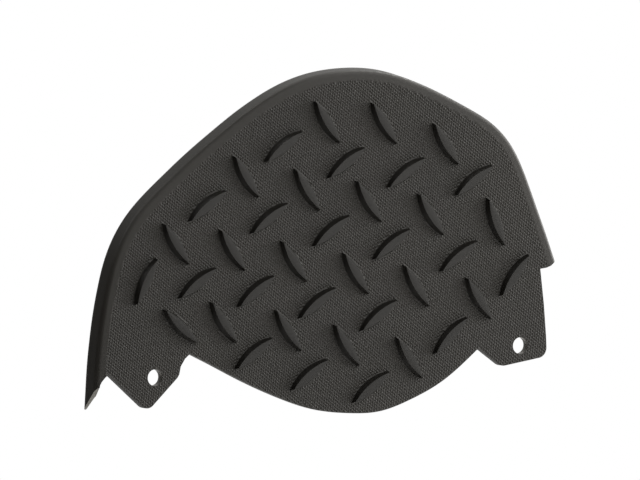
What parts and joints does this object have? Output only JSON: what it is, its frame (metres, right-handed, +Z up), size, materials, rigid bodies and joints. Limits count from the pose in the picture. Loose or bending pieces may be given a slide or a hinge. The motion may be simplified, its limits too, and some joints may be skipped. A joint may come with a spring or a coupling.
{
  "type": "kick shield",
  "caption": "Domed flat plastic kick shield with a raised lozenge tread, a turned-back rim round its curved edge and two fixing tabs at its lower corners.",
  "frame": {"origin": "midway between the two fixing holes, on the flat back face of the panel", "axes": "+X along the line of the two holes, +Z up in the plane of the panel, +Y out of the back face; the tread face looks along -Y"},
  "size_m": [0.2353, 0.011, 0.15],
  "materials": {
    "moulded_plastic": "matte black, moulded-in colour, fine grain on the tread face and plain elsewhere"
  },
  "bodies": {
    "root": {"shield_panel": "moulded_plastic"}
  },
  "joints": []
}
